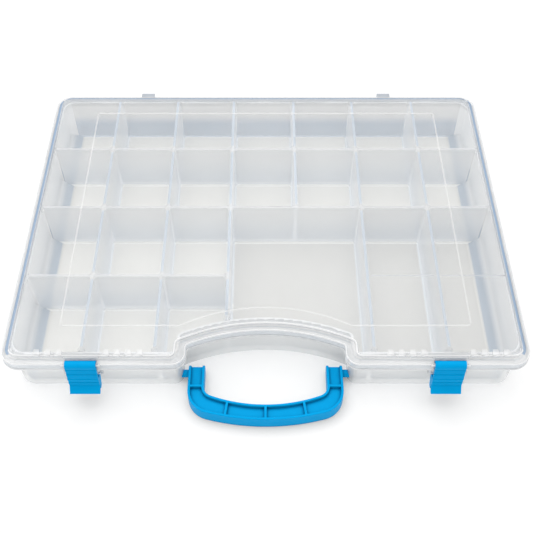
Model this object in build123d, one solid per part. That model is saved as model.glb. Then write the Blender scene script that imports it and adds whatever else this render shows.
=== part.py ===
from build123d import *

import math
import os

# Compartment storage box: a clear lid hinged on a one-piece divided tray, with two snap latches and a
# carry handle that folds up into a recess. Millimetres, +Z up, origin in the bottom plane under the
# middle of the lid, +Y towards the hinges, so the handle and latches are on the -Y side.

# Plan of the lid
lid_length = 380.0
lid_width = 284.0
lid_corner_radius = 14.0

# Heights
floor_thickness = 1.8
divider_height = 44.2
lid_gap = 0.3
lid_wall = 1.3
plate_step = 2.1
ledge_step = 1.3
skirt_height = 7.2

# Insets of the lid's steps from its outer edge
skirt_inset = 0.3
ledge_inset = 3.8
plate_inset = 5.6
skirt_wall = 1.4
ledge_wall = 1.0
bead_height = 1.2
plate_edge_radius = 1.1
flange_edge_radius = 0.9

# Handle recess in the front edge, at the lid's outer edge
recess_half_width = 57.0
recess_depth = 29.1
recess_arc_radius = 138.2
recess_outer_radius = 10.0
recess_inner_radius = 3.0
recess_side_flare = 1.33
recess_arc_flare = 0.8

# Tray walls
wall = 2.2
tray_side_inset = 5.1
tray_front_inset = 9.6
tray_corner_radius = 12.0
tray_recess_half_width = 61.7
tray_recess_arc_radius = 148.4
tray_recess_outer_radius = 6.5
tray_recess_inner_radius = 2.0
tray_bottom_radius = 1.2

# Dividers, moulded in one with the tray
divider_foot = 2.8
draft_angle = 0.4
corner_fillet = 2.4
foot_fillet = 1.8
row_back = 71.8
row_middle = 5.2
row_front = -64.3
column_positions = (-131.7, -79.3, -28.8, 25.0, 77.6, 131.4)
full_columns = 3
short_column = 3

# Flange round the tray, which the skirt closes down on
flange_thickness = 1.7
flange_inset = 1.2
flange_back_inset = 2.0

# Latches and their catches
latch_position = 131.0
latch_width = 22.0
latch_barrel_radius = 3.1
latch_rod_radius = 1.3
latch_axis_inset = 0.9
latch_axis_height = 42.8
latch_plate = 1.8
latch_knee_drop = 4.8
latch_slope_drop = 11.1
latch_slope = 1.2
latch_crease_drop = 20.8
latch_taper = 0.5
latch_lip_drop = 5.2
latch_lip_reach = 4.2
latch_hook_drop = 14.5
latch_hook_reach = 3.1
latch_hook_nose = 1.8
latch_hook_depth = 12.0
grip_rib_radius = 0.8
grip_rib_sink = 0.3
grip_rib_drops = (3.1, 8.2, 12.9, 17.5)
catch_thickness = 1.8
catch_reach = 8.1
catch_half_width = 12.2
gusset_thickness = 1.6

# Lid hinges
hinge_position = 107.8
hinge_width = 11.6
hinge_barrel_radius = 2.6
hinge_pin_radius = 1.4
hinge_axis_offset = 2.0
hinge_axis_height = 34.8
hinge_ear = 2.4
hinge_slot = 2.2
hinge_lug_chamfer = 0.8
hinge_gusset_depth = 7.0

# Carry handle
handle_half_width = 57.6
handle_thickness = 12.0
handle_arm_width = 12.0
handle_reach = 41.2
handle_grip_width = 12.2
handle_bow_radius = 165.0
handle_inner_bow_radius = 114.0
handle_outer_corner = 19.0
handle_inner_corner = 8.0
handle_rib = 1.9
handle_web = 2.6
handle_channel_depth = 3.2
handle_cross_rib_spacing = 30.0
handle_rib_tilt = 8.0
handle_arm_rib_offset = 13.4
handle_pivot_inset = 15.2
handle_edge_radius = 0.5
pin_radius = 2.95
pin_length = 8.4
pin_bevel = 2.6
handle_web_setback = 2.0

# Lid surface
panel_half_length = 149.8
panel_back_inset = 26.4
panel_front_inset = 30.4
panel_arc_radius = 129.0
panel_arc_rise = 15.9
panel_corner = 3.0
panel_blend = 8.0
panel_line_width = 1.2
panel_line_height = 0.35
nub_top_width = 3.4
nub_base_width = 5.4
nub_length = 4.9
nub_rise = 0.6
nub_bevel = 0.9
nub_pitch = 7.9
nub_groups = ((-154.8, 3), (-101.4, 4), (100.6, 4), (159.4, 4))
lid_rib_width = 0.9
lid_rib_depth = 0.8

# Where tray and lid are cut into short runs round the handle recess and at the corners
run_angle = 10.5
runs_beside_middle = 2
recess_end_cut = 68.6
corner_margin = 0.5

# Clearances, and how near a corner must lie to the place where it is looked for
body_gap = 0.3
running_clearance = 0.06
corner_search = 1.0

# Heights and places that follow
divider_top = floor_thickness + divider_height
plate_underside = divider_top + lid_gap
plate_top = plate_underside + lid_wall
ledge_top = plate_top - plate_step
edge_top = ledge_top - ledge_step
skirt_bottom = edge_top - skirt_height
rim_top = edge_top - lid_wall - lid_gap
flange_top = skirt_bottom - body_gap
flange_bottom = flange_top - flange_thickness
half_length = lid_length / 2
lid_back = lid_width / 2
lid_front = -lid_width / 2
recess_arc_centre = lid_front + recess_depth - recess_arc_radius
cavity_inset = plate_inset + lid_wall
tray_front = lid_front + tray_front_inset
tray_back = lid_back - tray_side_inset
tray_half_length = half_length - tray_side_inset
tray_corner = tray_corner_radius + corner_margin
tray_corner_x = tray_half_length - tray_corner
lid_corner = lid_corner_radius + corner_margin
lid_corner_x = half_length - lid_corner
latch_axis_y = lid_front + latch_axis_inset
pocket_half_width = latch_width / 2 + body_gap
pocket_back = latch_axis_y + latch_barrel_radius + body_gap
hinge_axis_y = lid_back + hinge_axis_offset
pivot_y = lid_front + handle_pivot_inset
pivot_z = handle_thickness / 2
lid_height = plate_top + panel_line_height
draft_spread = divider_height * math.tan(math.radians(draft_angle))
seam_half_width = divider_foot / 2 + corner_fillet
seam_inset = wall + corner_fillet
seam_height = floor_thickness / 2
tray_inner_corner = tray_corner_radius - wall - draft_spread
tray_corner_middle = tray_half_length - tray_corner_radius + tray_inner_corner * math.sqrt(0.5)


def nearest(shape, targets):
    """The vertices of the shape that lie where the given vertices lay."""
    spots = shape.vertices()
    return [min(spots, key=lambda v: (v.X - t.X) ** 2 + (v.Y - t.Y) ** 2) for t in targets]


def box_outline(half, back, front, corner, mouth_half, arc_radius, mouth_radius, deep_radius):
    """Plan of the box: a rounded rectangle with the arched handle recess in its front edge."""
    depth = back - front
    plan = Pos(0, front + depth / 2) * Rectangle(2 * half, depth)
    mouth = Pos(0, front) * Rectangle(2 * mouth_half, depth)
    plan = plan - (Pos(0, recess_arc_centre) * Circle(arc_radius) & mouth)
    spots = plan.vertices()
    ends = [v for v in spots if abs(v.X) > half - corner_search]
    middle = [v for v in spots if abs(v.X) < mouth_half + corner_search]
    mouth_corners = [v for v in middle if v.Y < front + corner_search]
    deep_corners = [v for v in middle if v.Y > front + corner_search]
    plan = fillet(ends, corner)
    plan = fillet(nearest(plan, mouth_corners), mouth_radius)
    return fillet(nearest(plan, deep_corners), deep_radius)


def lid_outline(inset):
    """Plan of the lid at one of its steps, with the recess flaring out towards the plate."""
    return box_outline(
        half_length - inset,
        lid_back - inset,
        lid_front + inset,
        lid_corner_radius - inset,
        recess_half_width + recess_side_flare * inset,
        recess_arc_radius + recess_arc_flare * inset,
        recess_outer_radius - inset,
        recess_inner_radius + inset / 4,
    )


def tray_outline(inset):
    """Plan of the tray's outside, drawn in by an inset."""
    return box_outline(
        tray_half_length - inset,
        tray_back - inset,
        tray_front + inset,
        tray_corner_radius - inset,
        tray_recess_half_width + inset,
        tray_recess_arc_radius + inset,
        tray_recess_outer_radius - inset,
        tray_recess_inner_radius + inset,
    )


def slab(face, low, high):
    """A plan face raised into a plate between two heights."""
    return extrude(Pos(0, 0, low) * face, high - low)


def block(x, y, z):
    """A box between two limits along each axis."""
    size = (x[1] - x[0], y[1] - y[0], z[1] - z[0])
    middle = (x[0] + size[0] / 2, y[0] + size[1] / 2, z[0] + size[2] / 2)
    return Pos(*middle) * Box(*size)


def profile(points, x_low, x_high):
    """A closed outline of (y, z) points raised along X."""
    face = make_face(Polyline(*[(0, y, z) for y, z in points], close=True))
    return extrude(Pos(x_low, 0, 0) * face, x_high - x_low, dir=(1, 0, 0))


def rod(radius, x_low, x_high, y, z):
    """A round bar along X."""
    return Pos((x_low + x_high) / 2, y, z) * Rot(0, 90, 0) * Cylinder(radius, x_high - x_low)


def cut_at(solids, planes):
    """The solids, each cut by every plane that passes through it."""
    for plane in planes:
        pieces = []
        for solid in solids:
            pieces += split(solid, bisect_by=plane, keep=Keep.BOTH).solids()
        solids = pieces
    return solids


def arc_planes():
    """Upright planes through the centre of the recess arc, at equal angles on both sides of the middle."""
    angles = [run_angle * step for step in range(-runs_beside_middle, runs_beside_middle + 1)]
    normals = [Vector(1, 0, 0).rotate(Axis.Z, -angle) for angle in angles]
    return [Plane(origin=(0, recess_arc_centre, 0), z_dir=normal) for normal in normals]


def cross_planes(*places):
    """Planes across the box at the same X on both sides of the middle."""
    return [Plane(origin=(x, 0, 0), z_dir=(1, 0, 0)) for place in places for x in (-place, place)]


def cut_ends(solids, x_limit, front, back):
    """The solids, with those beyond an X limit cut again where the corners end."""
    planes = [Plane(origin=(0, y, 0), z_dir=(0, 1, 0)) for y in (front, back)]
    ends = [solid for solid in solids if abs(solid.center().X) > x_limit]
    between = [solid for solid in solids if abs(solid.center().X) < x_limit]
    return between + cut_at(ends, planes)


def both_sides(shape):
    """The shape with its mirror image across the middle of the box."""
    return [shape, mirror(shape, Plane.YZ)]


def compartment_cells():
    """Limits (left, right, front, back) of each compartment between divider middles."""
    lines = (-half_length,) + column_positions + (half_length,)
    columns = list(zip(lines, lines[1:]))
    cells = []
    for front, back in ((row_back, lid_back), (row_middle, row_back)):
        cells += [(left, right, front, back) for left, right in columns]
    for front, back in ((row_front, row_middle), (lid_front, row_front)):
        cells += [(left, right, front, back) for left, right in columns[:full_columns]]
    wide = (column_positions[short_column - 1], column_positions[short_column + 1])
    for left, right in [wide] + columns[short_column + 2:]:
        cells.append((left, right, lid_front, row_middle))
    return cells


def pocket(cell):
    """One compartment as a solid with drafted walls, round corners and a filleted foot."""
    left, right, front, back = cell
    room = Rectangle(right - left - divider_foot, back - front - divider_foot)
    foot_outline = tray_outline(wall + draft_spread)
    area = Pos((left + right) / 2, (front + back) / 2) * room & foot_outline
    kept = [(v.X, v.Y) for v in foot_outline.vertices()]
    sharp = [v for v in area.vertices() if min(abs(v.X - x) + abs(v.Y - y) for x, y in kept) > body_gap]
    area = fillet(sharp, corner_fillet)
    room = extrude(Pos(0, 0, floor_thickness) * area, lid_height, taper=-draft_angle)
    return fillet(room.edges().group_by(Axis.Z)[0], foot_fillet)


def catch(x):
    """Ledge and gussets on the tray's front that a latch hook closes under."""
    ledge_top_height = latch_axis_height - latch_hook_drop + body_gap + catch_thickness
    reach = (tray_front - catch_reach, tray_front + wall / 2)
    outer = catch_half_width + gusset_thickness
    parts = [block((x - outer, x + outer), reach, (ledge_top_height - catch_thickness, ledge_top_height))]
    for side in (-1, 1):
        inner_face = x + side * catch_half_width
        outer_face = x + side * outer
        limits = (min(inner_face, outer_face), max(inner_face, outer_face))
        parts.append(block(limits, reach, (ledge_top_height, flange_bottom + flange_thickness / 2)))
    return parts


def hinge_ears(x):
    """Two ears and the pin between them that carry one lug of the lid."""
    low = hinge_axis_height - hinge_barrel_radius
    root = [
        (tray_back - wall / 2, flange_top),
        (hinge_axis_y - hinge_barrel_radius / 2, flange_top),
        (hinge_axis_y, low),
        (hinge_axis_y - hinge_barrel_radius, low),
        (tray_back - wall / 2, low - hinge_gusset_depth),
    ]
    inner = hinge_width / 2 + body_gap
    outer = inner + hinge_ear
    parts = [rod(hinge_pin_radius, x - outer, x + outer, hinge_axis_y, hinge_axis_height)]
    for low_x in (x - outer, x + inner):
        parts.append(profile(root, low_x, low_x + hinge_ear))
        parts.append(rod(hinge_barrel_radius, low_x, low_x + hinge_ear, hinge_axis_y, hinge_axis_height))
    return parts


def tray_flange():
    """Rim that stands out from the tray's walls just below the lid's skirt."""
    rim = lid_outline(flange_inset) - Pos(0, lid_back) * Rectangle(lid_length, 2 * flange_back_inset)
    return slab(rim, flange_bottom, flange_top) - slab(tray_outline(wall / 2), flange_bottom, flange_top)


def tray():
    """The whole tray as moulded: shell, dividers, flange, catches and hinge ears."""
    shell = slab(tray_outline(0), 0, divider_top)
    shell = fillet(shell.edges().group_by(Axis.Z)[0], tray_bottom_radius)
    inside_walls = slab(tray_outline(wall + draft_spread), rim_top, divider_top)
    shell = shell - (slab(tray_outline(0), rim_top, divider_top) - inside_walls)
    for cell in compartment_cells():
        shell = shell - pocket(cell)
    additions = [tray_flange()]
    additions += both_sides(Compound(catch(latch_position)))
    additions += both_sides(Compound(hinge_ears(hinge_position)))
    shell = shell + additions
    hole_reach = handle_half_width + pin_length + body_gap
    for low, high in ((-hole_reach, -recess_half_width), (recess_half_width, hole_reach)):
        shell = shell - rod(pin_radius + running_clearance, low, high, pivot_y, pivot_z)
    return shell


def divider_zone(x, y):
    """Space of one run of divider with its fillets, down into the floor and clear of the outer walls."""
    core = slab(tray_outline(seam_inset), seam_height, divider_top)
    return block(x, y, (seam_height, divider_top)) & core


def row_zones():
    """Spaces of the three dividers that run along the length."""
    far = half_length
    end_x = column_positions[full_columns - 1] + seam_half_width
    spans = {
        "row_divider_back": (row_back, far),
        "row_divider_middle": (row_middle, far),
        "row_divider_front": (row_front, end_x),
    }
    zones = {}
    for name, (y, right) in spans.items():
        zones[name] = divider_zone((-far, right), (y - seam_half_width, y + seam_half_width))
    return zones


def column_zones():
    """Spaces of the six dividers that run from front to back."""
    zones = {}
    for number, x in enumerate(column_positions):
        front = row_middle if number == short_column else lid_front
        zones[f"column_divider_{number + 1}"] = divider_zone(
            (x - seam_half_width, x + seam_half_width),
            (front, lid_back),
        )
    return zones


def tray_nodes():
    """The tray cut into simple runs, so that each compartment stays open for collision."""
    whole = tray()
    nodes = {}
    rest = whole
    for name, zone in {**row_zones(), **column_zones()}.items():
        nodes[name] = rest & zone
        rest = rest - zone
    floor_zone = slab(tray_outline(seam_inset), 0, divider_top)
    floor_planes = arc_planes() + cross_planes(recess_end_cut)
    nodes["tray_floor"] = Compound(cut_at((rest & floor_zone).solids(), floor_planes))
    corner_planes = cross_planes(tray_corner_x, tray_corner_middle)
    runs = cut_at((rest - floor_zone).solids(), floor_planes + corner_planes)
    ends = (tray_front + tray_corner, tray_back - tray_corner)
    nodes["tray_walls"] = Compound(cut_ends(runs, tray_corner_middle, *ends))
    return nodes


def lid_body():
    """Stepped lid: plate, ledge, flange, skirt and bead over an even-walled cavity."""
    solid = slab(lid_outline(skirt_inset), skirt_bottom, edge_top)
    solid = fillet(solid.edges().group_by(Axis.Z)[-1], flange_edge_radius)
    plate = slab(lid_outline(plate_inset), skirt_bottom, plate_top)
    plate = fillet(plate.edges().group_by(Axis.Z)[-1], plate_edge_radius)
    solid = solid + [
        slab(lid_outline(0), skirt_bottom, skirt_bottom + bead_height),
        slab(lid_outline(ledge_inset), skirt_bottom, ledge_top),
        plate,
    ]
    skirt_cavity = slab(lid_outline(skirt_inset + skirt_wall), skirt_bottom, edge_top - lid_wall)
    ledge_cavity = slab(lid_outline(ledge_inset + ledge_wall), skirt_bottom, ledge_top - lid_wall)
    plate_cavity = slab(lid_outline(cavity_inset), skirt_bottom, plate_underside)
    return solid - skirt_cavity - ledge_cavity - plate_cavity


def latch_pocket(lid, x):
    """The lid with a pocket for one latch: back wall, side walls and the rod that it turns on."""
    inner = (x - pocket_half_width, x + pocket_half_width)
    outer = (inner[0] - lid_wall, inner[1] + lid_wall)
    pocket_front = lid_front + skirt_inset
    walls = block(outer, (pocket_front, pocket_back + lid_wall), (skirt_bottom, edge_top))
    walls = walls + block(outer, (pocket_back, pocket_back + lid_wall), (skirt_bottom, plate_underside + lid_wall / 2))
    opening = block(inner, (lid_front - skirt_wall, pocket_back), (skirt_bottom - body_gap, plate_top + body_gap))
    cross_rod = rod(latch_rod_radius, outer[0] - lid_wall, outer[1] + lid_wall, latch_axis_y, latch_axis_height)
    return lid + walls - opening + cross_rod


def hinge_lug(x):
    """Lug under the lid's back edge, with a bore that snaps over the tray's pin."""
    back = hinge_axis_y + hinge_barrel_radius
    inner = hinge_axis_y - hinge_barrel_radius
    sides = (x - hinge_width / 2, x + hinge_width / 2)
    outline = [
        (inner, hinge_axis_height),
        (back, hinge_axis_height),
        (back, edge_top - hinge_lug_chamfer),
        (back - hinge_lug_chamfer, edge_top),
        (inner, edge_top - lid_wall / 2),
    ]
    bore_radius = hinge_pin_radius + running_clearance
    lug = profile(outline, *sides) + rod(hinge_barrel_radius, *sides, hinge_axis_y, hinge_axis_height)
    lug = lug - rod(bore_radius, *sides, hinge_axis_y, hinge_axis_height)
    slot_limits = (hinge_axis_y - hinge_slot / 2, hinge_axis_y + hinge_slot / 2)
    return lug - block(sides, slot_limits, (hinge_axis_height - 2 * hinge_barrel_radius, hinge_axis_height))


def panel_outline(inset):
    """Plan of the raised line on the lid, arched over the handle recess."""
    half = panel_half_length - inset
    back = lid_back - panel_back_inset - inset
    front = lid_front + panel_front_inset + inset
    arc_radius = panel_arc_radius + inset
    arc_centre = lid_front + panel_front_inset + panel_arc_rise - panel_arc_radius
    plan = Pos(0, (front + back) / 2) * Rectangle(2 * half, back - front) - Pos(0, arc_centre) * Circle(arc_radius)
    ends = [v for v in plan.vertices() if abs(v.X) > half - corner_search]
    joints = [v for v in plan.vertices() if abs(v.X) < half - corner_search]
    plan = fillet(ends, panel_corner - inset)
    return fillet(nearest(plan, joints), panel_blend - inset)


def nub(x):
    """Small raised wedge on the plate's front edge."""
    edge = lid_front + plate_inset
    back = edge + nub_length
    plan = make_face(Polyline(
        (x - nub_top_width / 2, back),
        (x + nub_top_width / 2, back),
        (x + nub_base_width / 2, edge - lid_gap),
        (x - nub_base_width / 2, edge - lid_gap),
        close=True,
    ))
    wedge = slab(plan, ledge_top - lid_wall / 2, plate_top + nub_rise)
    return chamfer(wedge.edges().group_by(Axis.Z)[-1].sort_by(Axis.Y)[0], nub_bevel)


def lid_ribs():
    """Shallow rib under the plate in line with the front row divider, broken round the last column."""
    low = plate_underside - lid_rib_depth
    y = (row_front - lid_rib_width / 2, row_front + lid_rib_width / 2)
    ends = column_positions[short_column + 1:] + (half_length - cavity_inset + divider_foot,)
    ribs = []
    for left, right in zip(ends, ends[1:]):
        x = (left + divider_foot, right - divider_foot)
        ribs.append(block(x, y, (low, plate_underside + lid_wall / 2)))
    return ribs


def lid():
    """The whole lid as moulded."""
    body = lid_body()
    for x in (-latch_position, latch_position):
        body = latch_pocket(body, x)
    line = slab(panel_outline(0), plate_top - lid_wall / 2, plate_top + panel_line_height)
    line = line - slab(panel_outline(panel_line_width), plate_top - lid_wall / 2, plate_top + panel_line_height)
    details = [line] + lid_ribs()
    details += [hinge_lug(x) for x in (-hinge_position, hinge_position)]
    for middle, count in nub_groups:
        details += [nub(middle + nub_pitch * (index - (count - 1) / 2)) for index in range(count)]
    return body + details


def lid_nodes():
    """The lid cut into its plate and the runs of its rim."""
    whole = lid()
    far = (-lid_length, lid_length)
    plate_zone = block(far, far, (plate_underside, lid_length))
    plate_planes = arc_planes() + cross_planes(recess_end_cut)
    runs = cut_at((whole - plate_zone).solids(), plate_planes + cross_planes(lid_corner_x))
    ends = (lid_front + lid_corner, lid_back - lid_corner)
    return {
        "lid_plate": Compound(cut_at((whole & plate_zone).solids(), plate_planes)),
        "lid_rim": Compound(cut_ends(runs, lid_corner_x, *ends)),
    }


def handle_plan(inset, arm_end):
    """Bowed grip with two arms, seen from above, drawn in by an inset for its channels."""
    outer_half = handle_half_width - inset
    inner_half = handle_half_width - handle_arm_width + inset
    grip_front = pivot_y - handle_reach + inset
    grip_back = pivot_y - handle_reach + handle_grip_width - inset
    outer = Pos(0, arm_end - handle_reach) * Rectangle(2 * outer_half, 2 * handle_reach)
    outer = outer & Pos(0, grip_front + handle_bow_radius) * Circle(handle_bow_radius)
    front_corners = outer.vertices().sort_by(Axis.Y)[:2]
    outer = fillet(front_corners, handle_outer_corner - inset)
    inner = Pos(0, pivot_y) * Rectangle(2 * inner_half, 2 * handle_reach)
    inner = inner & Pos(0, grip_back + handle_inner_bow_radius) * Circle(handle_inner_bow_radius)
    inner = fillet(inner.vertices().sort_by(Axis.Y)[:2], handle_inner_corner + inset)
    return outer - inner


def handle_channels():
    """The two open channels of the handle, crossed by thin ribs and open at the arms' ends."""
    arm_end = pivot_y + handle_thickness / 2
    plan = handle_plan(handle_rib, arm_end)
    ends = plan - Pos(0, arm_end - handle_web_setback - handle_reach) * Rectangle(lid_length, 2 * handle_reach)
    cross_ribs = [Pos(0, pivot_y - handle_reach) * Rectangle(handle_rib, 2 * handle_reach)]
    for side in (-1, 1):
        radial = Pos(side * handle_cross_rib_spacing, pivot_y - handle_reach) * Rot(0, 0, side * handle_rib_tilt)
        cross_ribs.append(radial * Rectangle(handle_rib, handle_reach))
        arm = Pos(side * handle_half_width, pivot_y - handle_arm_rib_offset)
        cross_ribs.append(arm * Rectangle(2 * handle_arm_width, handle_rib))
    for rib in cross_ribs:
        plan = plan - rib
    web_top = handle_thickness - handle_channel_depth
    web_bottom = web_top - handle_web
    return slab(plan, web_top, handle_thickness) + slab(plan, 0, web_bottom) + slab(ends, 0, handle_thickness)


def handle_pin(side):
    """Pin with a bevelled tip on one arm, towards the given side."""
    root = side * (handle_half_width - handle_rib / 2)
    tip = side * (handle_half_width + pin_length)
    pin = rod(pin_radius, min(root, tip), max(root, tip), pivot_y, pivot_z)
    top = pivot_z + pin_radius
    bevel = make_face(Polyline(
        (tip, pivot_y, top),
        (tip, pivot_y, pivot_z),
        (tip - side * pin_bevel, pivot_y, top),
        close=True,
    ))
    return pin - extrude(bevel, 2 * pin_radius, both=True)


def handle():
    """Carry handle lying flat in front of the tray."""
    body = slab(handle_plan(0, pivot_y), 0, handle_thickness)
    arms = []
    for side in (-1, 1):
        far = side * handle_half_width
        near = side * (handle_half_width - handle_arm_width)
        low, high = min(far, near), max(far, near)
        arms.append(rod(handle_thickness / 2, low, high, pivot_y, pivot_z))
    body = body + arms - handle_channels()
    body = fillet(body.edges().group_by(Axis.Z)[-1], handle_edge_radius)
    body = fillet(body.edges().group_by(Axis.Z)[0], handle_edge_radius)
    return body + [handle_pin(-1), handle_pin(1)]


def latch(x):
    """Snap latch: barrel, ribbed front plate with a flared lip, and the hook behind it."""
    half = latch_width / 2
    z = latch_axis_height
    front = latch_axis_y - latch_barrel_radius
    knee = front - latch_slope
    crease = knee - latch_taper
    plate = [
        (latch_axis_y, z),
        (front, z),
        (front, z - latch_knee_drop),
        (knee, z - latch_slope_drop),
        (crease, z - latch_crease_drop),
        (crease - latch_lip_reach, z - latch_crease_drop - latch_lip_drop),
        (crease - latch_lip_reach + latch_plate, z - latch_crease_drop - latch_lip_drop - latch_taper),
        (crease + latch_plate, z - latch_crease_drop),
        (knee + latch_plate, z - latch_slope_drop),
        (front + latch_plate, z - latch_knee_drop),
    ]
    hook_top = z - latch_hook_drop
    hook_tip = latch_axis_y + latch_hook_reach
    hook = [
        (knee + latch_plate / 2, hook_top),
        (hook_tip, hook_top),
        (hook_tip, hook_top - latch_hook_nose),
        (knee + 2 * latch_plate, hook_top - latch_hook_depth),
        (crease + latch_plate / 2, hook_top - latch_hook_depth),
    ]
    body = profile(plate, x - half, x + half)
    body = body + profile(hook, x - half, x + half)
    body = body + rod(latch_barrel_radius, x - half, x + half, latch_axis_y, z)
    for drop in grip_rib_drops:
        body = body + rod(grip_rib_radius, x - half, x + half, front_face_y(drop) + grip_rib_sink, z - drop)
    return body - rod(latch_rod_radius + running_clearance, x - half, x + half, latch_axis_y, z)


def front_face_y(drop):
    """Depth of the latch's front face at a given drop below its axis."""
    front = latch_axis_y - latch_barrel_radius
    upper = min(max(drop - latch_knee_drop, 0) / (latch_slope_drop - latch_knee_drop), 1)
    lower = max(drop - latch_slope_drop, 0) / (latch_crease_drop - latch_slope_drop)
    return front - upper * latch_slope - lower * latch_taper


os.makedirs("parts", exist_ok=True)
nodes = {**tray_nodes(), **lid_nodes()}
nodes["carry_handle"] = handle()
nodes["latch_left"] = latch(-latch_position)
nodes["latch_right"] = latch(latch_position)
for name, solid in nodes.items():
    export_step(solid, f"parts/{name}.step")
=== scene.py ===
import logging
import math
from dataclasses import dataclass, field
from enum import Enum

import bmesh
import bpy
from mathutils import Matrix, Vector


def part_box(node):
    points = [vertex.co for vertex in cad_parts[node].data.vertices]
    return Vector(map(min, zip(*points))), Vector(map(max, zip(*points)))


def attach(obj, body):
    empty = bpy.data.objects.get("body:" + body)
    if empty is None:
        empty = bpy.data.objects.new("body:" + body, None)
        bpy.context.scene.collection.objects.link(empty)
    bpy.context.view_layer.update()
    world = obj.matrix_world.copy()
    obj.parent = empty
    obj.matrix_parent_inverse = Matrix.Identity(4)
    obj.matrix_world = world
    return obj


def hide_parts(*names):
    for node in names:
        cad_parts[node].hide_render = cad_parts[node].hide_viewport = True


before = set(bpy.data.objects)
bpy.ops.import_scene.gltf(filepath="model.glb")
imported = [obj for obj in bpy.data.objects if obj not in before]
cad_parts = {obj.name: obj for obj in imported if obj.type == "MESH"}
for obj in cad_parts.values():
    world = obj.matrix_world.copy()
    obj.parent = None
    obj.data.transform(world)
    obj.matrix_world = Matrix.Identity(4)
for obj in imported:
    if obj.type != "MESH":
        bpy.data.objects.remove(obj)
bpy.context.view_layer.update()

logging.basicConfig(level=logging.INFO, format="%(message)s")
log = logging.getLogger("storage_box")

MM = 0.001

# The sRGB curve: byte range, end and slope of its straight part, offset and power of the rest.
BYTE_MAX = 255
STRAIGHT_END, STRAIGHT_SLOPE = 0.04045, 12.92
CURVE_OFFSET, CURVE_POWER = 0.055, 2.4

# A Mix node's colour sockets by number, because its sockets for plain numbers have the same names.
MIX_A, MIX_B, MIX_OUT = 6, 7, 2

# Dividers that run from front to back, counted from the left.
COLUMN_COUNT = 6


class Slot(Enum):
    """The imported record's material slots for the two clear mouldings."""

    TRAY = "tray_clear"
    LID = "lid_clear"


class Side(Enum):
    """The two latches, as seen from the handle's side."""

    LEFT = "left"
    RIGHT = "right"


def linear(hex_colour: str) -> tuple[float, float, float, float]:
    """Turns an sRGB hex colour into linear red, green, blue and an alpha of 1.

    Args:
        hex_colour: Six hex digits after a hash sign.

    Returns:
        The four numbers that a shader socket takes.
    """
    red, green, blue = [
        v / STRAIGHT_SLOPE
        if v <= STRAIGHT_END
        else ((v + CURVE_OFFSET) / (1 + CURVE_OFFSET)) ** CURVE_POWER
        for v in (byte / BYTE_MAX for byte in bytes.fromhex(hex_colour[1:]))
    ]
    return red, green, blue, 1.0


def add_node(
    tree: bpy.types.NodeTree,
    kind: str,
    settings: dict[str | int, object] | None = None,
    links: dict[str | int, bpy.types.NodeSocket] | None = None,
) -> bpy.types.Node:
    """Adds one shader node with its settings and its incoming links.

    Args:
        tree: The node tree to add to.
        kind: The node's type name.
        settings: Values by property name, or by input name or number.
        links: Output sockets of other nodes by input name or number.

    Returns:
        The new node.
    """
    node = tree.nodes.new(kind)
    for name, value in (settings or {}).items():
        if isinstance(name, str) and hasattr(node, name):
            setattr(node, name, value)
        else:
            node.inputs[name].default_value = value
    for name, socket in (links or {}).items():
        tree.links.new(socket, node.inputs[name])
    return node


def new_material(name: str) -> tuple[bpy.types.Material, bpy.types.NodeTree]:
    """Makes an empty node material.

    Args:
        name: The material's name.

    Returns:
        The material and its cleared node tree.
    """
    material = bpy.data.materials.new(name)
    material.use_nodes = True
    material.node_tree.nodes.clear()
    return material, material.node_tree


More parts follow.
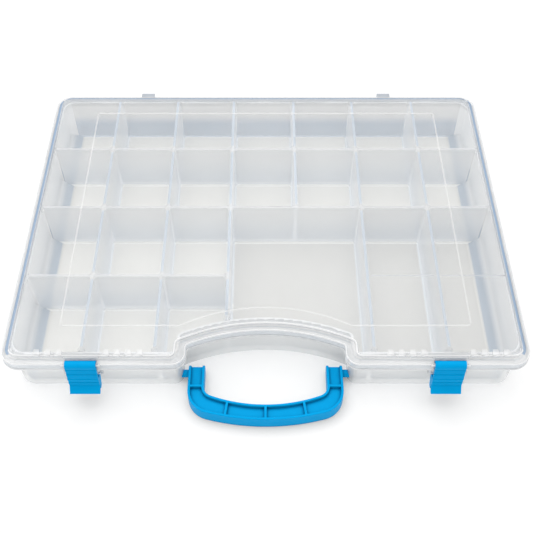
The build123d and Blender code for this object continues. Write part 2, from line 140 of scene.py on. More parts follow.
@dataclass(frozen=True)
class ClearPolypropylene:
    """Natural polypropylene, injection moulded in a polished mould.

    Light goes through it and is scattered a little on the way, so it looks like thin milk over
    whatever lies behind. Seen along a wall there is more plastic in the way, and it turns denser.
    Towards the foot of a deep box less light arrives, and it looks darker and slightly blue. What
    the plastic scatters still goes on through it, so its shadow is weaker than its cover.

    Attributes:
        name: The material's name.
        high_hex: Colour at high_mm and above.
        low_hex: Colour at low_mm and below.
        face_cover: Share of what lies behind that is hidden, seen face on.
        edge_cover: The same share, seen along the wall.
        low_mm: Height at which the colour starts to change.
        high_mm: Height at which it ends.
        roughness: Polish of the mould.
        edge_power: How late the cover turns from face_cover to edge_cover as the wall turns away.
        flow_mm: Size of the clouds that the flowing melt leaves in the wall.
        flow_detail: Steps of finer clouds in them.
        flow_range: Values between which the clouds' noise lies.
        flow_strength: Share by which the clouds change the cover.
        ripple_mm: Length of the slight waves in the surface, as left by shrinkage.
        ripple_height_mm: Their height.
        index: Index of refraction.
        gloss: Strength of the surface's reflection.
        passing_light: Share of the hidden light that still goes through, towards the shadow.
    """

    name: str
    high_hex: str
    low_hex: str
    face_cover: float
    edge_cover: float
    low_mm: float = 2.0
    high_mm: float = 40.0
    roughness: float = 0.16
    edge_power: float = 2.2
    flow_mm: float = 60.0
    flow_detail: float = 3.0
    flow_range: tuple[float, float] = (0.3, 0.7)
    flow_strength: float = 0.06
    ripple_mm: float = 7.0
    ripple_height_mm: float = 0.010
    index: float = 1.49
    gloss: float = 0.5
    passing_light: float = 0.75

    def build(self) -> bpy.types.Material:
        """Builds the material.

        Returns:
            The finished material.
        """
        material, tree = new_material(self.name)
        place = add_node(tree, "ShaderNodeTexCoord").outputs["Object"]
        facing = add_node(tree, "ShaderNodeLayerWeight").outputs["Facing"]
        grazing = add_node(
            tree,
            "ShaderNodeMath",
            {"operation": "POWER", 1: self.edge_power},
            {0: facing},
        ).outputs[0]
        flow = add_node(
            tree,
            "ShaderNodeTexNoise",
            {"Scale": 1 / (self.flow_mm * MM), "Detail": self.flow_detail},
            {"Vector": place},
        ).outputs["Fac"]
        flow_low, flow_high = self.flow_range
        milk = add_node(
            tree,
            "ShaderNodeMapRange",
            {
                "From Min": flow_low,
                "From Max": flow_high,
                "To Min": 1 - self.flow_strength,
                "To Max": 1 + self.flow_strength,
            },
            {"Value": flow},
        ).outputs["Result"]
        cover = add_node(
            tree,
            "ShaderNodeMapRange",
            {"To Min": self.face_cover, "To Max": self.edge_cover},
            {"Value": grazing},
        ).outputs["Result"]
        cloudy = add_node(
            tree,
            "ShaderNodeMath",
            {"operation": "MULTIPLY"},
            {0: cover, 1: milk},
        ).outputs[0]
        shadow = add_node(tree, "ShaderNodeLightPath").outputs["Is Shadow Ray"]
        stopped = add_node(
            tree,
            "ShaderNodeMapRange",
            {"To Min": 1.0, "To Max": 1 - self.passing_light},
            {"Value": shadow},
        ).outputs["Result"]
        hidden = add_node(
            tree,
            "ShaderNodeMath",
            {"operation": "MULTIPLY", "use_clamp": True},
            {0: cloudy, 1: stopped},
        ).outputs[0]
        height = add_node(tree, "ShaderNodeSeparateXYZ", links={0: place}).outputs["Z"]
        rise = add_node(
            tree,
            "ShaderNodeMapRange",
            {
                "interpolation_type": "SMOOTHSTEP",
                "From Min": self.low_mm * MM,
                "From Max": self.high_mm * MM,
            },
            {"Value": height},
        ).outputs["Result"]
        colour = add_node(
            tree,
            "ShaderNodeMix",
            {"data_type": "RGBA", MIX_A: linear(self.low_hex), MIX_B: linear(self.high_hex)},
            {0: rise},
        ).outputs[MIX_OUT]
        ripple = add_node(
            tree,
            "ShaderNodeTexNoise",
            {"Scale": 1 / (self.ripple_mm * MM)},
            {"Vector": place},
        ).outputs["Fac"]
        relief = add_node(
            tree,
            "ShaderNodeBump",
            {"Distance": self.ripple_height_mm * MM},
            {"Height": ripple},
        ).outputs["Normal"]
        shader = add_node(
            tree,
            "ShaderNodeBsdfPrincipled",
            {"Roughness": self.roughness, "IOR": self.index, "Specular IOR Level": self.gloss},
            {"Base Color": colour, "Alpha": hidden, "Normal": relief},
        )
        add_node(tree, "ShaderNodeOutputMaterial", links={"Surface": shader.outputs[0]})
        return material


@dataclass(frozen=True)
class BluePolypropylene:
    """Polypropylene coloured through with a bright cyan blue pigment, injection moulded.

    It is opaque with a satin gloss. Pigment flow makes very faint streaks, and the mould's spark
    finish a fine grain that softens the highlights. The real grain is about a tenth of a
    millimetre, and is drawn coarser here to show at all. Grooves and inner corners are painted
    darker there, a painted shade where less light gets in. The light that it throws on its
    surroundings is nearly neutral, as the bright studio leaves no blue cast beside it.

    Attributes:
        name: The material's name.
        body_hex: Its colour.
        deep_hex: Colour of the streaks.
        groove_shade_hex: Painted shade, the colour at the foot of a groove.
        groove_mm: How far round a point something has to stand to make it a groove.
        groove_samples: Directions in which that is looked for.
        groove_range: Openness of a groove's foot, and of an open face.
        bounce_hex: Colour of the light thrown on the surroundings.
        roughness: Mean roughness of the surface.
        roughness_spread: How far the grain takes it up and down.
        streak_mm: Size of the streaks.
        streak_detail: Steps of finer streaks in them.
        streak_swirl: How far the flow bends them.
        grain_mm: Size of the grain as drawn.
        grain_detail: Steps of finer grain in it.
        grain_height_mm: Its height.
        index: Index of refraction.
        gloss: Strength of the surface's reflection.
    """

    name: str = "blue_polypropylene_moulded"
    body_hex: str = "#00ACEE"
    deep_hex: str = "#00A3E6"
    groove_shade_hex: str = "#0073B8"
    groove_mm: float = 3.0
    groove_samples: int = 8
    groove_range: tuple[float, float] = (0.35, 0.90)
    bounce_hex: str = "#8E9AA2"
    roughness: float = 0.34
    roughness_spread: float = 0.06
    streak_mm: float = 9.0
    streak_detail: float = 4.0
    streak_swirl: float = 0.6
    grain_mm: float = 0.5
    grain_detail: float = 1.0
    grain_height_mm: float = 0.012
    index: float = 1.49
    gloss: float = 0.03

    def build(self) -> bpy.types.Material:
        """Builds the material.

        Returns:
            The finished material.
        """
        material, tree = new_material(self.name)
        place = add_node(tree, "ShaderNodeTexCoord").outputs["Object"]
        streaks = add_node(
            tree,
            "ShaderNodeTexNoise",
            {
                "Scale": 1 / (self.streak_mm * MM),
                "Detail": self.streak_detail,
                "Distortion": self.streak_swirl,
            },
            {"Vector": place},
        ).outputs["Fac"]
        pigment = add_node(
            tree,
            "ShaderNodeMix",
            {"data_type": "RGBA", MIX_A: linear(self.deep_hex), MIX_B: linear(self.body_hex)},
            {0: streaks},
        ).outputs[MIX_OUT]
        openness = add_node(
            tree,
            "ShaderNodeAmbientOcclusion",
            {"Distance": self.groove_mm * MM, "samples": self.groove_samples},
        ).outputs["AO"]
        groove, open_face = self.groove_range
        # Painted shade: grooves and inner corners turn towards the darker groove colour.
        lit = add_node(
            tree,
            "ShaderNodeMapRange",
            {"From Min": groove, "From Max": open_face},
            {"Value": openness},
        ).outputs["Result"]
        shaded = add_node(
            tree,
            "ShaderNodeMix",
            {"data_type": "RGBA", MIX_A: linear(self.groove_shade_hex)},
            {0: lit, MIX_B: pigment},
        ).outputs[MIX_OUT]
        bounce = add_node(tree, "ShaderNodeLightPath").outputs["Is Diffuse Ray"]
        colour = add_node(
            tree,
            "ShaderNodeMix",
            {"data_type": "RGBA", MIX_B: linear(self.bounce_hex)},
            {0: bounce, MIX_A: shaded},
        ).outputs[MIX_OUT]
        grain = add_node(
            tree,
            "ShaderNodeTexNoise",
            {"Scale": 1 / (self.grain_mm * MM), "Detail": self.grain_detail},
            {"Vector": place},
        ).outputs["Fac"]
        polish = add_node(
            tree,
            "ShaderNodeMapRange",
            {
                "To Min": self.roughness - self.roughness_spread,
                "To Max": self.roughness + self.roughness_spread,
            },
            {"Value": grain},
        ).outputs["Result"]
        relief = add_node(
            tree,
            "ShaderNodeBump",
            {"Distance": self.grain_height_mm * MM},
            {"Height": grain},
        ).outputs["Normal"]
        shader = add_node(
            tree,
            "ShaderNodeBsdfPrincipled",
            {"IOR": self.index, "Specular IOR Level": self.gloss},
            {"Base Color": colour, "Roughness": polish, "Normal": relief},
        )
        add_node(tree, "ShaderNodeOutputMaterial", links={"Surface": shader.outputs[0]})
        return material


class TrayZone(Enum):
    """Parts of the tray's skin that look different, with how light comes through them.

    Each finish gives its name, its colours high up and low down, how much it hides face on and
    along the wall, and the heights in millimetres between which its colour changes.
    """

    # Warm and dense, as it lies on the white table.
    FLOOR = ClearPolypropylene(
        "clear_pp_tray_floor", "#E6E4DE", "#E6E4DE", 0.75, 0.85, roughness=0.3
    )
    # A darker copy of the floor, painted shade for the large and long compartments, whose floors
    # look darker.
    OPEN_FLOOR = ClearPolypropylene(
        "clear_pp_open_floor_painted_shade", "#D3D1CC", "#D3D1CC", 0.75, 0.85, roughness=0.3
    )
    # Ends of the dividers above the wall's rim, nearly clear.
    STUB = ClearPolypropylene("clear_pp_divider_end", "#F0F2F4", "#F0F2F4", 0.12, 0.30)
    # Underside, seen only as a haze through the floor.
    BASE = ClearPolypropylene("clear_pp_tray_base", "#F0F1F2", "#F0F1F2", 0.25, 0.60)
    # White at the top and bluish at the foot, where walls stand behind walls: painted shade, as
    # less light reaches down there.
    DIVIDER = ClearPolypropylene("clear_pp_divider", "#FEFEFE", "#E6EDF5", 0.50, 0.80)
    # Painted blue shade low down that fades out towards the rim.
    BACK_WALL = ClearPolypropylene(
        "clear_pp_back_wall", "#E6E4E1", "#8FA5BC", 0.60, 0.85, 16.0, 30.0
    )
    # Inside of the front wall and of the corners, with painted bluish shade at the foot.
    INNER_WALL = ClearPolypropylene(
        "clear_pp_inner_wall", "#EDF1F5", "#9DB1C6", 0.50, 0.75, 4.0, 18.0
    )
    # Inside of both end walls, bright because it faces the light.
    END_WALL = ClearPolypropylene("clear_pp_end_wall", "#FFFFFF", "#F4F5F6", 0.60, 0.85, 9.0, 26.0)
    # The rounding at their foot, a soft bluish band of painted shade.
    COVE = ClearPolypropylene("clear_pp_end_cove", "#F0F1F2", "#A3B3C4", 0.70, 0.85, 3.4, 9.0)
    # Its lowest part, where the painted shade turns into the floor's warm grey.
    COVE_FOOT = ClearPolypropylene(
        "clear_pp_end_cove_foot", "#A3B3C4", "#E6E4DE", 0.75, 0.85, 1.8, 2.3
    )
    # Outside of the tray, white and milky.
    OUTER_WALL = ClearPolypropylene("clear_pp_outer_wall", "#FFFFFF", "#F8FAFA", 0.55, 0.85)
    # Outside in the handle recess, where little shows through: a denser copy of the outside,
    # painted lighter against the shade that falls in the recess.
    RECESS_WALL = ClearPolypropylene("clear_pp_recess_wall", "#FFFFFF", "#F8FAFA", 0.80, 0.90)
    # Painted highlight: a bright line where a row divider meets the floor.
    ROW_FOOT = ClearPolypropylene("clear_pp_row_foot_painted_highlight", "#FFFEFA", "#FFFEFA", 0.85, 0.95)
    # Top edge of a row divider, a thin light line.
    ROW_TOP = ClearPolypropylene("clear_pp_row_top", "#FFFFFF", "#FFFFFF", 0.28, 0.50)
    # Top edge of a column divider, a thin blue line.
    COLUMN_TOP = ClearPolypropylene("clear_pp_column_top", "#C3D3E4", "#C3D3E4", 0.50, 0.80)
    # Rim of the wall, white.
    RIM = ClearPolypropylene("clear_pp_rim_edge", "#FFFFFF", "#FFFFFF", 0.70, 0.90)
    # Flange under the lid's skirt, half clear.
    FLANGE = ClearPolypropylene("clear_pp_flange", "#F0F2F4", "#F0F2F4", 0.35, 0.70)


class LidZone(Enum):
    """Parts of the lid's skin that look different, with how light comes through them."""

    # Flat top, almost clear from above and milky at a low angle.
    PLATE = ClearPolypropylene("clear_pp_lid_plate", "#EEF1F4", "#EEF1F4", 0.12, 0.60)
    # The other rounded edges, which catch the light and look white.
    FRONT_EDGE = ClearPolypropylene("clear_pp_lid_front_edge", "#FFFFFF", "#FFFFFF", 0.80, 0.90)
    # Upper edges at the sides and the back, which look blue.
    SIDE_EDGE = ClearPolypropylene("clear_pp_lid_side_edge", "#A0B8D4", "#A0B8D4", 0.85, 0.92)
    # Raised line on the plate, a fine white stroke.
    LINE = ClearPolypropylene("clear_pp_lid_line", "#FFFFFF", "#FFFFFF", 0.40, 0.90)
    # Level steps of the edge.
    STEP = ClearPolypropylene("clear_pp_lid_step", "#F4F4F4", "#F4F4F4", 0.35, 0.65)
    # Upright faces between the steps, slightly blue.
    RISER = ClearPolypropylene("clear_pp_lid_riser", "#E6ECF2", "#E6ECF2", 0.35, 0.70)
    # Bead at the foot of the skirt, bright with a painted highlight.
    BEAD = ClearPolypropylene("clear_pp_lid_bead_painted_highlight", "#F8F9FA", "#F8F9FA", 0.75, 0.90)
    # Hinge lugs, thick and grey.
    LUG = ClearPolypropylene("clear_pp_lid_lug", "#C2C8D0", "#C2C8D0", 0.75, 0.90)


def dress(obj: bpy.types.Object, material: bpy.types.Material) -> None:
    """Gives one of the frame's objects a new material in each of its slots.

    Args:
        obj: The object.
        material: Its new finish.
    """
    for slot in obj.material_slots:
        slot.material = material


def skin(
    name: str,
    mesh: bmesh.types.BMesh,
    zones: type[Enum],
    smooth_angle: float,
) -> bpy.types.Object:
    """Turns an edited mesh into a scene object with one material slot for each zone.

    Args:
        name: The new object's name.
        mesh: The edited mesh, whose faces carry zone numbers. It is freed.
        zones: The zones, each with its finish as value.
        smooth_angle: Edges sharper than this angle, in radians, stay hard.

    Returns:
        The object, linked to the scene.
    """
    for face in mesh.faces:
        face.smooth = True
    data = bpy.data.meshes.new(name)
    mesh.to_mesh(data)
    mesh.free()
    data.set_sharp_from_angle(angle=smooth_angle)
    obj = bpy.data.objects.new(name, data)
    bpy.context.scene.collection.objects.link(obj)
    for zone in zones:
        data.materials.append(zone.value.build())
    even = obj.modifiers.new("flat_faces_stay_even", "WEIGHTED_NORMAL")
    even.keep_sharp = True
    return obj


@dataclass(frozen=True)
class Cuts:
    """Upright planes in which the frame's runs of one moulding meet.

    Attributes:
        across: Distances from the middle along X, used on both sides of it.
        along: Places along Y.
        fan_centre: Place along Y from which planes fan out over the handle recess.
        fan_step: Angle between two of them, in radians.
        fan_count: Their number on each side of the middle one.
    """

    across: tuple[float, ...]
    along: tuple[float, ...]
    fan_centre: float = -251.1 * MM
    fan_step: float = math.radians(10.5)
    fan_count: int = 2

    def planes(self) -> list[tuple[float, float, float]]:
        """Lists the planes.

        Returns:
            For each plane the X and Y of its normal, and its distance from the origin.
        """
        across = [(1.0, 0.0, side * x) for x in self.across for side in (-1, 1)]
        along = [(0.0, 1.0, y) for y in self.along]
        turns = [self.fan_step * n for n in range(-self.fan_count, self.fan_count + 1)]
        normals = [(math.cos(turn), -math.sin(turn)) for turn in turns]
        fan = [(x, y, y * self.fan_centre) for x, y in normals]
        return across + along + fan


def in_one_plane(
    points: list[Vector],
    planes: list[tuple[float, float, float]],
    tolerance: float,
) -> bool:
    """Says whether all the points lie in one of some upright planes.

    Args:
        points: The points.
        planes: For each plane the X and Y of its normal, and its distance from the origin.
        tolerance: How far from a plane a point may lie.

    Returns:
        True if one of the planes holds every point.
    """
    return any(
        all(abs(x * p.x + y * p.y - far) < tolerance for p in points)
        for x, y, far in planes
    )


def in_level(points: list[Vector], height: float, tolerance: float) -> bool:
    """Says whether all the points lie at one height.

    Args:
        points: The points.
        height: The height.
        tolerance: How far above or below a point may lie.

    Returns:
        True if every point lies there.
    """
    return all(abs(p.z - height) < tolerance for p in points)


@dataclass
class TrayMoulding:
    """The tray: shell and dividers in one clear moulding.

    The frame holds it in runs. They are joined here into one skin, without the faces where the
    runs meet inside the plastic, because those would show through the clear walls.

    Attributes:
        rows: Nodes of the dividers from left to right.
        columns: Nodes of the dividers from front to back.
        shell: Nodes of the walls and the floor.
        cuts: Planes in which the shell's runs meet.
        recess_seam_radius: Distance from the recess arc's centre at which floor and wall meet.
        tolerance: How far from a seam a point of its faces may lie.
        weld_runs: Distance at which points of neighbouring runs become one.
        weld_skin: The same distance once the seams are gone.
        smooth_angle: Edges sharper than this angle, in radians, stay hard.
        level: Rise of the normal from which a face counts as level.
        foot_rise: Rise of the normal from which a row divider's face belongs to its rounded foot.
        sheer: Rise of the normal up to which a face counts as upright.
        facing_front: Y of the normal below which a face looks forward.
        facing_side: X of the normal beyond which a face looks sideways.
        floor_top: Height below which a level face is floor.
        seam_top: Height below which the upright faces of the floor's runs end.
        base_top: Height below which all faces belong to the underside.
        end_zone: Distance from the middle beyond which a sideways face belongs to an end wall.
        recess_side: Distance from the middle up to which the front's faces belong to the recess.
        recess_front: Place behind which they do.
        open_left: Place right of which the large and the long compartments lie.
        open_back: Place in front of which they lie.
        divider_top: Height above which level faces are the tops of dividers.
        wall_top: Height above which the shell has only the ends of dividers.
        rim_low: Height above which a level face of the shell is its rim.
        corner_x: Distance from the middle of the inner corners' centres.
        corner_front: Place of the front corners' centres.
        corner_back: Place of the back corners' centres.
        corner_radius: Radius of the inner corners at the floor.
        cove_wall: Distance from the middle at which the coves run into the end walls.
        cove_floor: Height at which they start, just inside the floor.
        cove_radius: Radius of the coves.
        cove_steps: Faces along a cove's curve.
        cove_foot_steps: Those of them, from the floor up, that take the foot's finish, where the
            painted shade fades into the floor.
        upright_seams: Upright planes in which runs meet, filled in by read_seams.
        level_seams: Heights at which runs meet, filled in by read_seams.
    """

    rows: tuple[str, ...] = ("row_divider_back", "row_divider_middle", "row_divider_front")
    columns: tuple[str, ...] = tuple(f"column_divider_{n + 1}" for n in range(COLUMN_COUNT))
    shell: tuple[str, ...] = ("tray_walls", "tray_floor")
    cuts: Cuts = Cuts(
        across=tuple(x * MM for x in (68.6, 172.4, 179.611)),
        along=tuple(y * MM for y in (-119.9, 124.4)),
    )
    recess_seam_radius: float = 153.0 * MM
    tolerance: float = 0.02 * MM
    weld_runs: float = 0.002 * MM
    weld_skin: float = 0.01 * MM
    smooth_angle: float = math.radians(32)
    level: float = 0.95
    foot_rise: float = 0.20
    sheer: float = 0.01
    facing_front: float = -0.7
    facing_side: float = 0.5
    floor_top: float = 2.4 * MM
    seam_top: float = 1.82 * MM
    base_top: float = 0.5 * MM
    end_zone: float = 163.0 * MM
    recess_side: float = 62.0 * MM
    recess_front: float = -125.0 * MM
    open_left: float = -26.0 * MM
    open_back: float = 3.0 * MM
    divider_top: float = 45.5 * MM
    wall_top: float = 43.2 * MM
    rim_low: float = 42.0 * MM
    corner_x: float = 172.9 * MM
    corner_front: float = -120.4 * MM
    corner_back: float = 124.9 * MM
    corner_radius: float = 9.49 * MM
    cove_wall: float = 182.45 * MM
    cove_floor: float = 1.75 * MM
    cove_radius: float = 12.0 * MM
    cove_steps: int = 12
    cove_foot_steps: int = 5
    upright_seams: list[tuple[float, float, float]] = field(default_factory=list)
    level_seams: set[float] = field(default_factory=set)

    def read_seams(self) -> None:
        """Notes the planes in which the runs meet, from the boxes of the runs."""
        self.upright_seams = self.cuts.planes()
        for name in self.rows + self.columns:
            low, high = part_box(name)
            self.upright_seams += [(1.0, 0.0, x) for x in (low.x, high.x)]
            self.upright_seams += [(0.0, 1.0, y) for y in (low.y, high.y)]
            self.level_seams.add(low.z)

    def is_seam(self, face: bmesh.types.BMFace) -> bool:
        """Says whether a face lies inside the plastic, where two runs meet.

        Args:
            face: A face of the joined mesh.

        Returns:
            True for a face that is left out.
        """
        points = [v.co for v in face.verts]
        if in_one_plane(points, self.upright_seams, self.tolerance):
            return True
        if any(in_level(points, height, self.tolerance) for height in self.level_seams):
            return True
        if abs(face.normal.z) < self.sheer and max(p.z for p in points) < self.seam_top:
            return True
        reach = [math.hypot(p.x, p.y - self.cuts.fan_centre) for p in points]
        return all(abs(r - self.recess_seam_radius) < self.tolerance for r in reach)

    def zone(self, face: bmesh.types.BMFace, node: str) -> TrayZone:
        """Says which part of the skin a face belongs to.

        Args:
            face: A face of one run.
            node: The run's name.

        Returns:
            The face's zone.
        """
        centre = face.calc_center_median()
        rise = face.normal.z
        at_end = abs(centre.x) > self.end_zone
        sideways = abs(face.normal.x) > self.facing_side
        # The wall's runs end in short pieces of divider, which stand above the rim.
        if node in self.shell and centre.z > self.wall_top:
            return TrayZone.STUB
        if centre.z > self.divider_top and rise > self.level:
            return TrayZone.ROW_TOP if node in self.rows else TrayZone.COLUMN_TOP
        if centre.z < self.base_top or rise < -self.level:
            return TrayZone.BASE
        # Level faces: floor, rim and flange, from the plastic's inside to its outside.
        if rise > self.level and centre.z < self.floor_top:
            # The large and long compartments take the floor's copy with painted shade.
            is_open = centre.x > self.open_left and centre.y < self.open_back
            return TrayZone.OPEN_FLOOR if is_open else TrayZone.FLOOR
        if rise > self.level and centre.z > self.rim_low:
            return TrayZone.RIM
        if rise > self.level and node in self.shell:
            return TrayZone.FLANGE
        # Dividers, and at the ends of a row the wall that its run carries with it.
        # The rounded foot of a row divider takes a painted highlight.
        if rise > self.foot_rise and node in self.rows and not sideways:
            return TrayZone.ROW_FOOT
        if node in self.columns or (node in self.rows and not (at_end and sideways)):
            return TrayZone.DIVIDER
        # What is left is wall. Its outside looks away from the middle of the box.
        if face.normal.x * centre.x + face.normal.y * centre.y > 0:
            in_recess = abs(centre.x) < self.recess_side and centre.y > self.recess_front
            return TrayZone.RECESS_WALL if in_recess and centre.y < 0 else TrayZone.OUTER_WALL
        if at_end and sideways:
            return TrayZone.END_WALL
        return TrayZone.BACK_WALL if face.normal.y < self.facing_front else TrayZone.INNER_WALL

    def add_coves(self, mesh: bmesh.types.BMesh) -> None:
        """Adds the soft rounding along the foot of both end walls, which only the eye needs, with
        its band of painted shade.

        Args:
            mesh: The joined mesh that the rounding goes into.
        """
        middle_x = self.cove_wall - self.cove_radius
        middle_z = self.cove_floor + self.cove_radius
        zones = list(TrayZone)
        for side in (-1, 1):
            edges = []
            for step in range(self.cove_steps + 1):
                angle = math.pi / 2 * step / self.cove_steps
                x = middle_x + self.cove_radius * math.sin(angle)
                z = middle_z - self.cove_radius * math.cos(angle)
                over = max(x - self.corner_x, 0.0)
                bulge = math.sqrt(max(self.corner_radius ** 2 - over ** 2, 0.0))
                front, back = self.corner_front - bulge, self.corner_back + bulge
                edges.append([mesh.verts.new((side * x, y, z)) for y in (front, back)])
            for step, ((a, b), (c, d)) in enumerate(zip(edges, edges[1:])):
                face = mesh.faces.new((a, b, d, c) if side < 0 else (a, c, d, b))
                # Painted shade: a bluish band up the cove, fading into the floor's grey at its
                # foot.
                zone = TrayZone.COVE_FOOT if step < self.cove_foot_steps else TrayZone.COVE
                face.material_index = zones.index(zone)

    def build(self) -> bpy.types.Object:
        """Joins the runs into one mesh.

        Returns:
            The tray.
        """
        self.read_seams()
        mesh = bmesh.new()
        nodes = self.shell + self.rows + self.columns
        zones = list(TrayZone)
        for name in nodes:
            known = len(mesh.faces)
            mesh.from_mesh(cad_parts[name].data)
            mesh.faces.ensure_lookup_table()
            for face in mesh.faces[known:]:
                face.normal_update()
                face.material_index = zones.index(self.zone(face, name))
        # With the zones read, the runs share their points, and the faces between them go.
        bmesh.ops.remove_doubles(mesh, verts=mesh.verts, dist=self.weld_runs)
        inner = [f for f in mesh.faces if self.is_seam(f)]
        bmesh.ops.delete(mesh, geom=inner, context="FACES")
        bmesh.ops.remove_doubles(mesh, verts=mesh.verts, dist=self.weld_skin)
        self.add_coves(mesh)
        log.info("tray: %d runs joined, %d inner faces left out", len(nodes), len(inner))
        tray = skin("tray_moulding", mesh, TrayZone, self.smooth_angle)
        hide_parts(*nodes)
        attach(tray, "tray")
        return tray


@dataclass
class LidMoulding:
    """The clear lid, with its edges, raised line and steps in finishes of their own.

    The frame holds it as plate and rim in short runs, which are joined here into one skin.

    Attributes:
        nodes: Nodes of the lid.
        cuts: Upright planes in which the runs meet.
        seam_height: Height at which plate and rim meet.
        tolerance: How far from a seam a point of its faces may lie.
        weld_skin: Distance at which points become one once the seams are gone.
        smooth_angle: Edges sharper than this angle, in radians, stay hard.
        level: Rise or fall of the normal from which a face counts as level.
        back_edge: Place behind which only the hinge lugs lie.
        bead_top: Height below which the skirt has its bead.
        plate_low: Height above which a level face belongs to the plate.
        plate_top: Height of the plate's top, above which only the raised line lies.
        rounded_low: Rise of the normal from which a face counts as rounded.
        rounded_z: Height above which the rounded faces are edges that catch the light.
        side_zone: Distance from the middle beyond which edges belong to the sides.
        back_zone: Place behind which they belong to the back.
        ledge_low: Height above which the sides and the back look blue.
        front_facing: Y of the normal above which a face doesn't look forward.
    """

    nodes: tuple[str, ...] = ("lid_plate", "lid_rim")
    cuts: Cuts = Cuts(
        across=tuple(x * MM for x in (68.6, 175.5)),
        along=tuple(y * MM for y in (-127.5, 127.5)),
    )
    seam_height: float = 46.3 * MM
    tolerance: float = 0.02 * MM
    weld_skin: float = 0.01 * MM
    smooth_angle: float = math.radians(32)
    level: float = 0.98
    back_edge: float = 142.2 * MM
    bead_top: float = 38.3 * MM
    plate_low: float = 46.2 * MM
    plate_top: float = 47.6 * MM
    rounded_low: float = 0.05
    rounded_z: float = 43.0 * MM
    side_zone: float = 183.0 * MM
    back_zone: float = 135.0 * MM
    ledge_low: float = 45.4 * MM
    front_facing: float = -0.35

    def is_seam(self, face: bmesh.types.BMFace) -> bool:
        """Says whether a face lies inside the plastic, where two runs meet.

        Args:
            face: A face of the frame's mesh.

        Returns:
            True for a face that is left out.
        """
        points = [v.co for v in face.verts]
        if in_one_plane(points, self.cuts.planes(), self.tolerance):
            return True
        return face.normal.z > self.level and in_level(points, self.seam_height, self.tolerance)

    def zone(self, face: bmesh.types.BMFace) -> LidZone:
        """Says which part of the skin a face belongs to.

        Args:
            face: A face of the lid.

        Returns:
            The face's zone.
        """
        centre = face.calc_center_median()
        rise = face.normal.z
        if centre.y > self.back_edge:
            return LidZone.LUG
        if centre.z > self.plate_top + self.tolerance:
            return LidZone.LINE
        if abs(rise) > self.level and centre.z > self.plate_low:
            return LidZone.PLATE
        beside = abs(centre.x) > self.side_zone or centre.y > self.back_zone
        if beside and centre.z > self.ledge_low and face.normal.y > self.front_facing:
            return LidZone.SIDE_EDGE
        if self.rounded_low < rise < self.level and centre.z > self.rounded_z:
            return LidZone.FRONT_EDGE
        # The skirt's bead takes a painted highlight.
        if centre.z < self.bead_top:
            return LidZone.BEAD
        return LidZone.STEP if abs(rise) > self.level else LidZone.RISER

    def build(self) -> bpy.types.Object:
        """Joins the runs into one skin.

        Returns:
            The lid.
        """
        mesh = bmesh.new()
        for name in self.nodes:
            mesh.from_mesh(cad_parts[name].data)
        inner = [f for f in mesh.faces if self.is_seam(f)]
        bmesh.ops.delete(mesh, geom=inner, context="FACES")
        bmesh.ops.remove_doubles(mesh, verts=mesh.verts, dist=self.weld_skin)
        zones = list(LidZone)
        for face in mesh.faces:
            face.normal_update()
            face.material_index = zones.index(self.zone(face))
        lid = skin("lid_moulding", mesh, LidZone, self.smooth_angle)
        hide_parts(*self.nodes)
        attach(lid, "lid")
        log.info("lid: %d runs joined, %d inner faces left out", len(self.nodes), len(inner))
        return lid


@dataclass
class CarryHandle:
    """The blue carry handle, in the shape that the frame holds.

    Attributes:
        finish: What it is made of.
    """

    finish: BluePolypropylene

    def build(self) -> bpy.types.Object:
        """Dresses the handle.

        Returns:
            The handle.
        """
        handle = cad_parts["carry_handle"]
        dress(handle, self.finish.build())
        return handle


@dataclass
class SnapLatch:
    """One of the two blue latches, in the shape that the frame holds.

    Attributes:
        side: Which of the two.
        finish: What it is made of.
    """

    side: Side
    finish: BluePolypropylene

    def build(self) -> bpy.types.Object:
        """Dresses the latch.

        Returns:
            The latch.
        """
        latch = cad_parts[f"latch_{self.side.value}"]
        dress(latch, self.finish.build())
        return latch


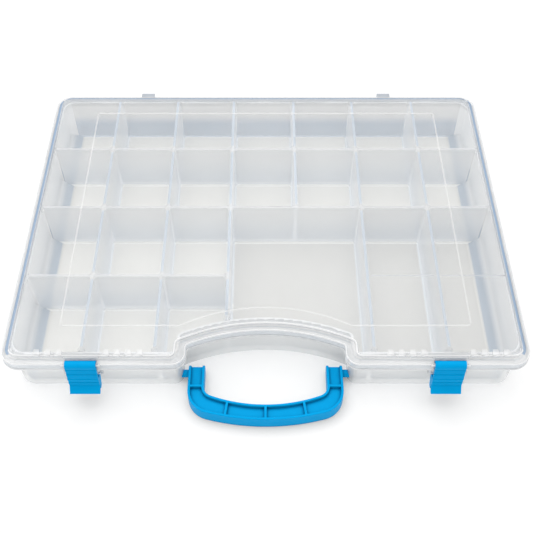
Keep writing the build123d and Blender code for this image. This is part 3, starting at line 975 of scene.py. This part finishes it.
@dataclass
class Studio:
    """White table, soft overhead light and the camera.

    Attributes:
        floor_size: Length of the square table's sides.
        floor_drop: How far it lies below the tray's underside.
        floor_hex: Its colour.
        glow: Light of its own, in place of what a white room throws on it.
        fade_start: Distance from the middle at which it starts to turn into the backdrop.
        fade_end: Distance at which only the backdrop is seen.
        backdrop: Brightness of the backdrop, where 1 is white.
        key_energy: Power of the softbox in watts.
        key_size: Length of its sides.
        key_place: Its place.
        sky_hex: Colour of the surroundings.
        sky_light: Brightness of the surroundings as they light the box.
        sky_reflected: Their brightness as reflections show them.
        camera_place: The camera's place.
        camera_pitch: Its tilt from straight down, in radians.
        lens_mm: Focal length.
        sensor_mm: Width of the sensor.
        clear_layers: Layers of clear plastic that a ray may pass.
    """

    floor_size: float = 6.0
    floor_drop: float = 0.2 * MM
    floor_hex: str = "#F6F6F6"
    glow: float = 0.10
    fade_start: float = 0.5
    fade_end: float = 1.1
    backdrop: float = 1.0
    key_energy: float = 18.0
    key_size: float = 1.8
    key_place: tuple[float, float, float] = (-0.15, 0.25, 1.6)
    sky_hex: str = "#FFFFFF"
    sky_light: float = 0.62
    sky_reflected: float = 0.3
    camera_place: tuple[float, float, float] = (0.0007, -0.4377, 0.545)
    camera_pitch: float = math.radians(37.43)
    lens_mm: float = 55.25
    sensor_mm: float = 36.0
    clear_layers: int = 48

    def floor(self) -> None:
        """Builds the table top, a plain white sheet that runs out into the white backdrop."""
        half = self.floor_size / 2
        corners = [(-half, -half), (half, -half), (half, half), (-half, half)]
        data = bpy.data.meshes.new("table_top")
        data.from_pydata([(x, y, -self.floor_drop) for x, y in corners], [], [(0, 1, 2, 3)])
        table = bpy.data.objects.new("table_top", data)
        bpy.context.scene.collection.objects.link(table)
        material, tree = new_material("white_paper_matt")
        paper = add_node(tree, "ShaderNodeBsdfDiffuse", {"Color": linear(self.floor_hex)})
        glow = add_node(tree, "ShaderNodeEmission", {"Strength": self.glow})
        both = add_node(
            tree,
            "ShaderNodeAddShader",
            links={0: paper.outputs[0], 1: glow.outputs[0]},
        ).outputs[0]
        place = add_node(tree, "ShaderNodeTexCoord").outputs["Object"]
        reach = add_node(
            tree,
            "ShaderNodeVectorMath",
            {"operation": "LENGTH"},
            {0: place},
        ).outputs["Value"]
        far = add_node(
            tree,
            "ShaderNodeMapRange",
            {
                "interpolation_type": "SMOOTHSTEP",
                "From Min": self.fade_start,
                "From Max": self.fade_end,
            },
            {"Value": reach},
        ).outputs["Result"]
        seen = add_node(tree, "ShaderNodeLightPath").outputs["Is Camera Ray"]
        fade = add_node(
            tree,
            "ShaderNodeMath",
            {"operation": "MULTIPLY"},
            {0: far, 1: seen},
        ).outputs[0]
        backdrop = add_node(tree, "ShaderNodeEmission", {"Strength": self.backdrop}).outputs[0]
        surface = add_node(
            tree,
            "ShaderNodeMixShader",
            links={0: fade, 1: both, 2: backdrop},
        ).outputs[0]
        add_node(tree, "ShaderNodeOutputMaterial", links={"Surface": surface})
        data.materials.append(material)

    def lights(self) -> None:
        """Builds the overhead softbox and the even white surroundings."""
        lamp = bpy.data.lights.new("softbox", "AREA")
        lamp.shape = "SQUARE"
        lamp.size = self.key_size
        lamp.energy = self.key_energy
        softbox = bpy.data.objects.new("softbox", lamp)
        softbox.location = self.key_place
        towards_box = -Vector(self.key_place)
        softbox.rotation_euler = towards_box.to_track_quat("-Z", "Y").to_euler()
        bpy.context.scene.collection.objects.link(softbox)
        world = bpy.data.worlds.new("white_surroundings")
        bpy.context.scene.world = world
        world.use_nodes = True
        tree = world.node_tree
        tree.nodes.clear()
        path = add_node(tree, "ShaderNodeLightPath")
        lit = add_node(
            tree,
            "ShaderNodeMapRange",
            {"To Min": self.sky_light, "To Max": self.sky_reflected},
            {"Value": path.outputs["Is Glossy Ray"]},
        ).outputs["Result"]
        strength = add_node(
            tree,
            "ShaderNodeMath",
            {"operation": "MAXIMUM"},
            {0: lit, 1: path.outputs["Is Camera Ray"]},
        ).outputs[0]
        sky = add_node(
            tree,
            "ShaderNodeBackground",
            {"Color": linear(self.sky_hex)},
            {"Strength": strength},
        )
        add_node(tree, "ShaderNodeOutputWorld", links={"Surface": sky.outputs[0]})

    def camera(self) -> None:
        """Builds the camera at the angle that the box is seen from."""
        data = bpy.data.cameras.new("camera")
        data.lens = self.lens_mm
        data.sensor_width = self.sensor_mm
        camera = bpy.data.objects.new("camera", data)
        camera.location = self.camera_place
        camera.rotation_euler = (self.camera_pitch, 0, 0)
        bpy.context.scene.collection.objects.link(camera)
        bpy.context.scene.camera = camera

    def build(self) -> None:
        """Builds the whole studio."""
        self.floor()
        self.lights()
        self.camera()
        bpy.context.scene.view_settings.view_transform = "Standard"
        bpy.context.scene.cycles.transparent_max_bounces = self.clear_layers


def main() -> None:
    """Builds the box, piece by piece, and the studio round it."""
    blue = BluePolypropylene()
    latches = [SnapLatch(side, blue) for side in Side]
    for part in [TrayMoulding(), LidMoulding(), CarryHandle(blue), *latches]:
        piece = part.build()
        log.info("%s: %d faces", piece.name, len(piece.data.polygons))
    Studio().build()
    log.info("studio: table, light and camera")


if __name__ == "__main__":
    main()
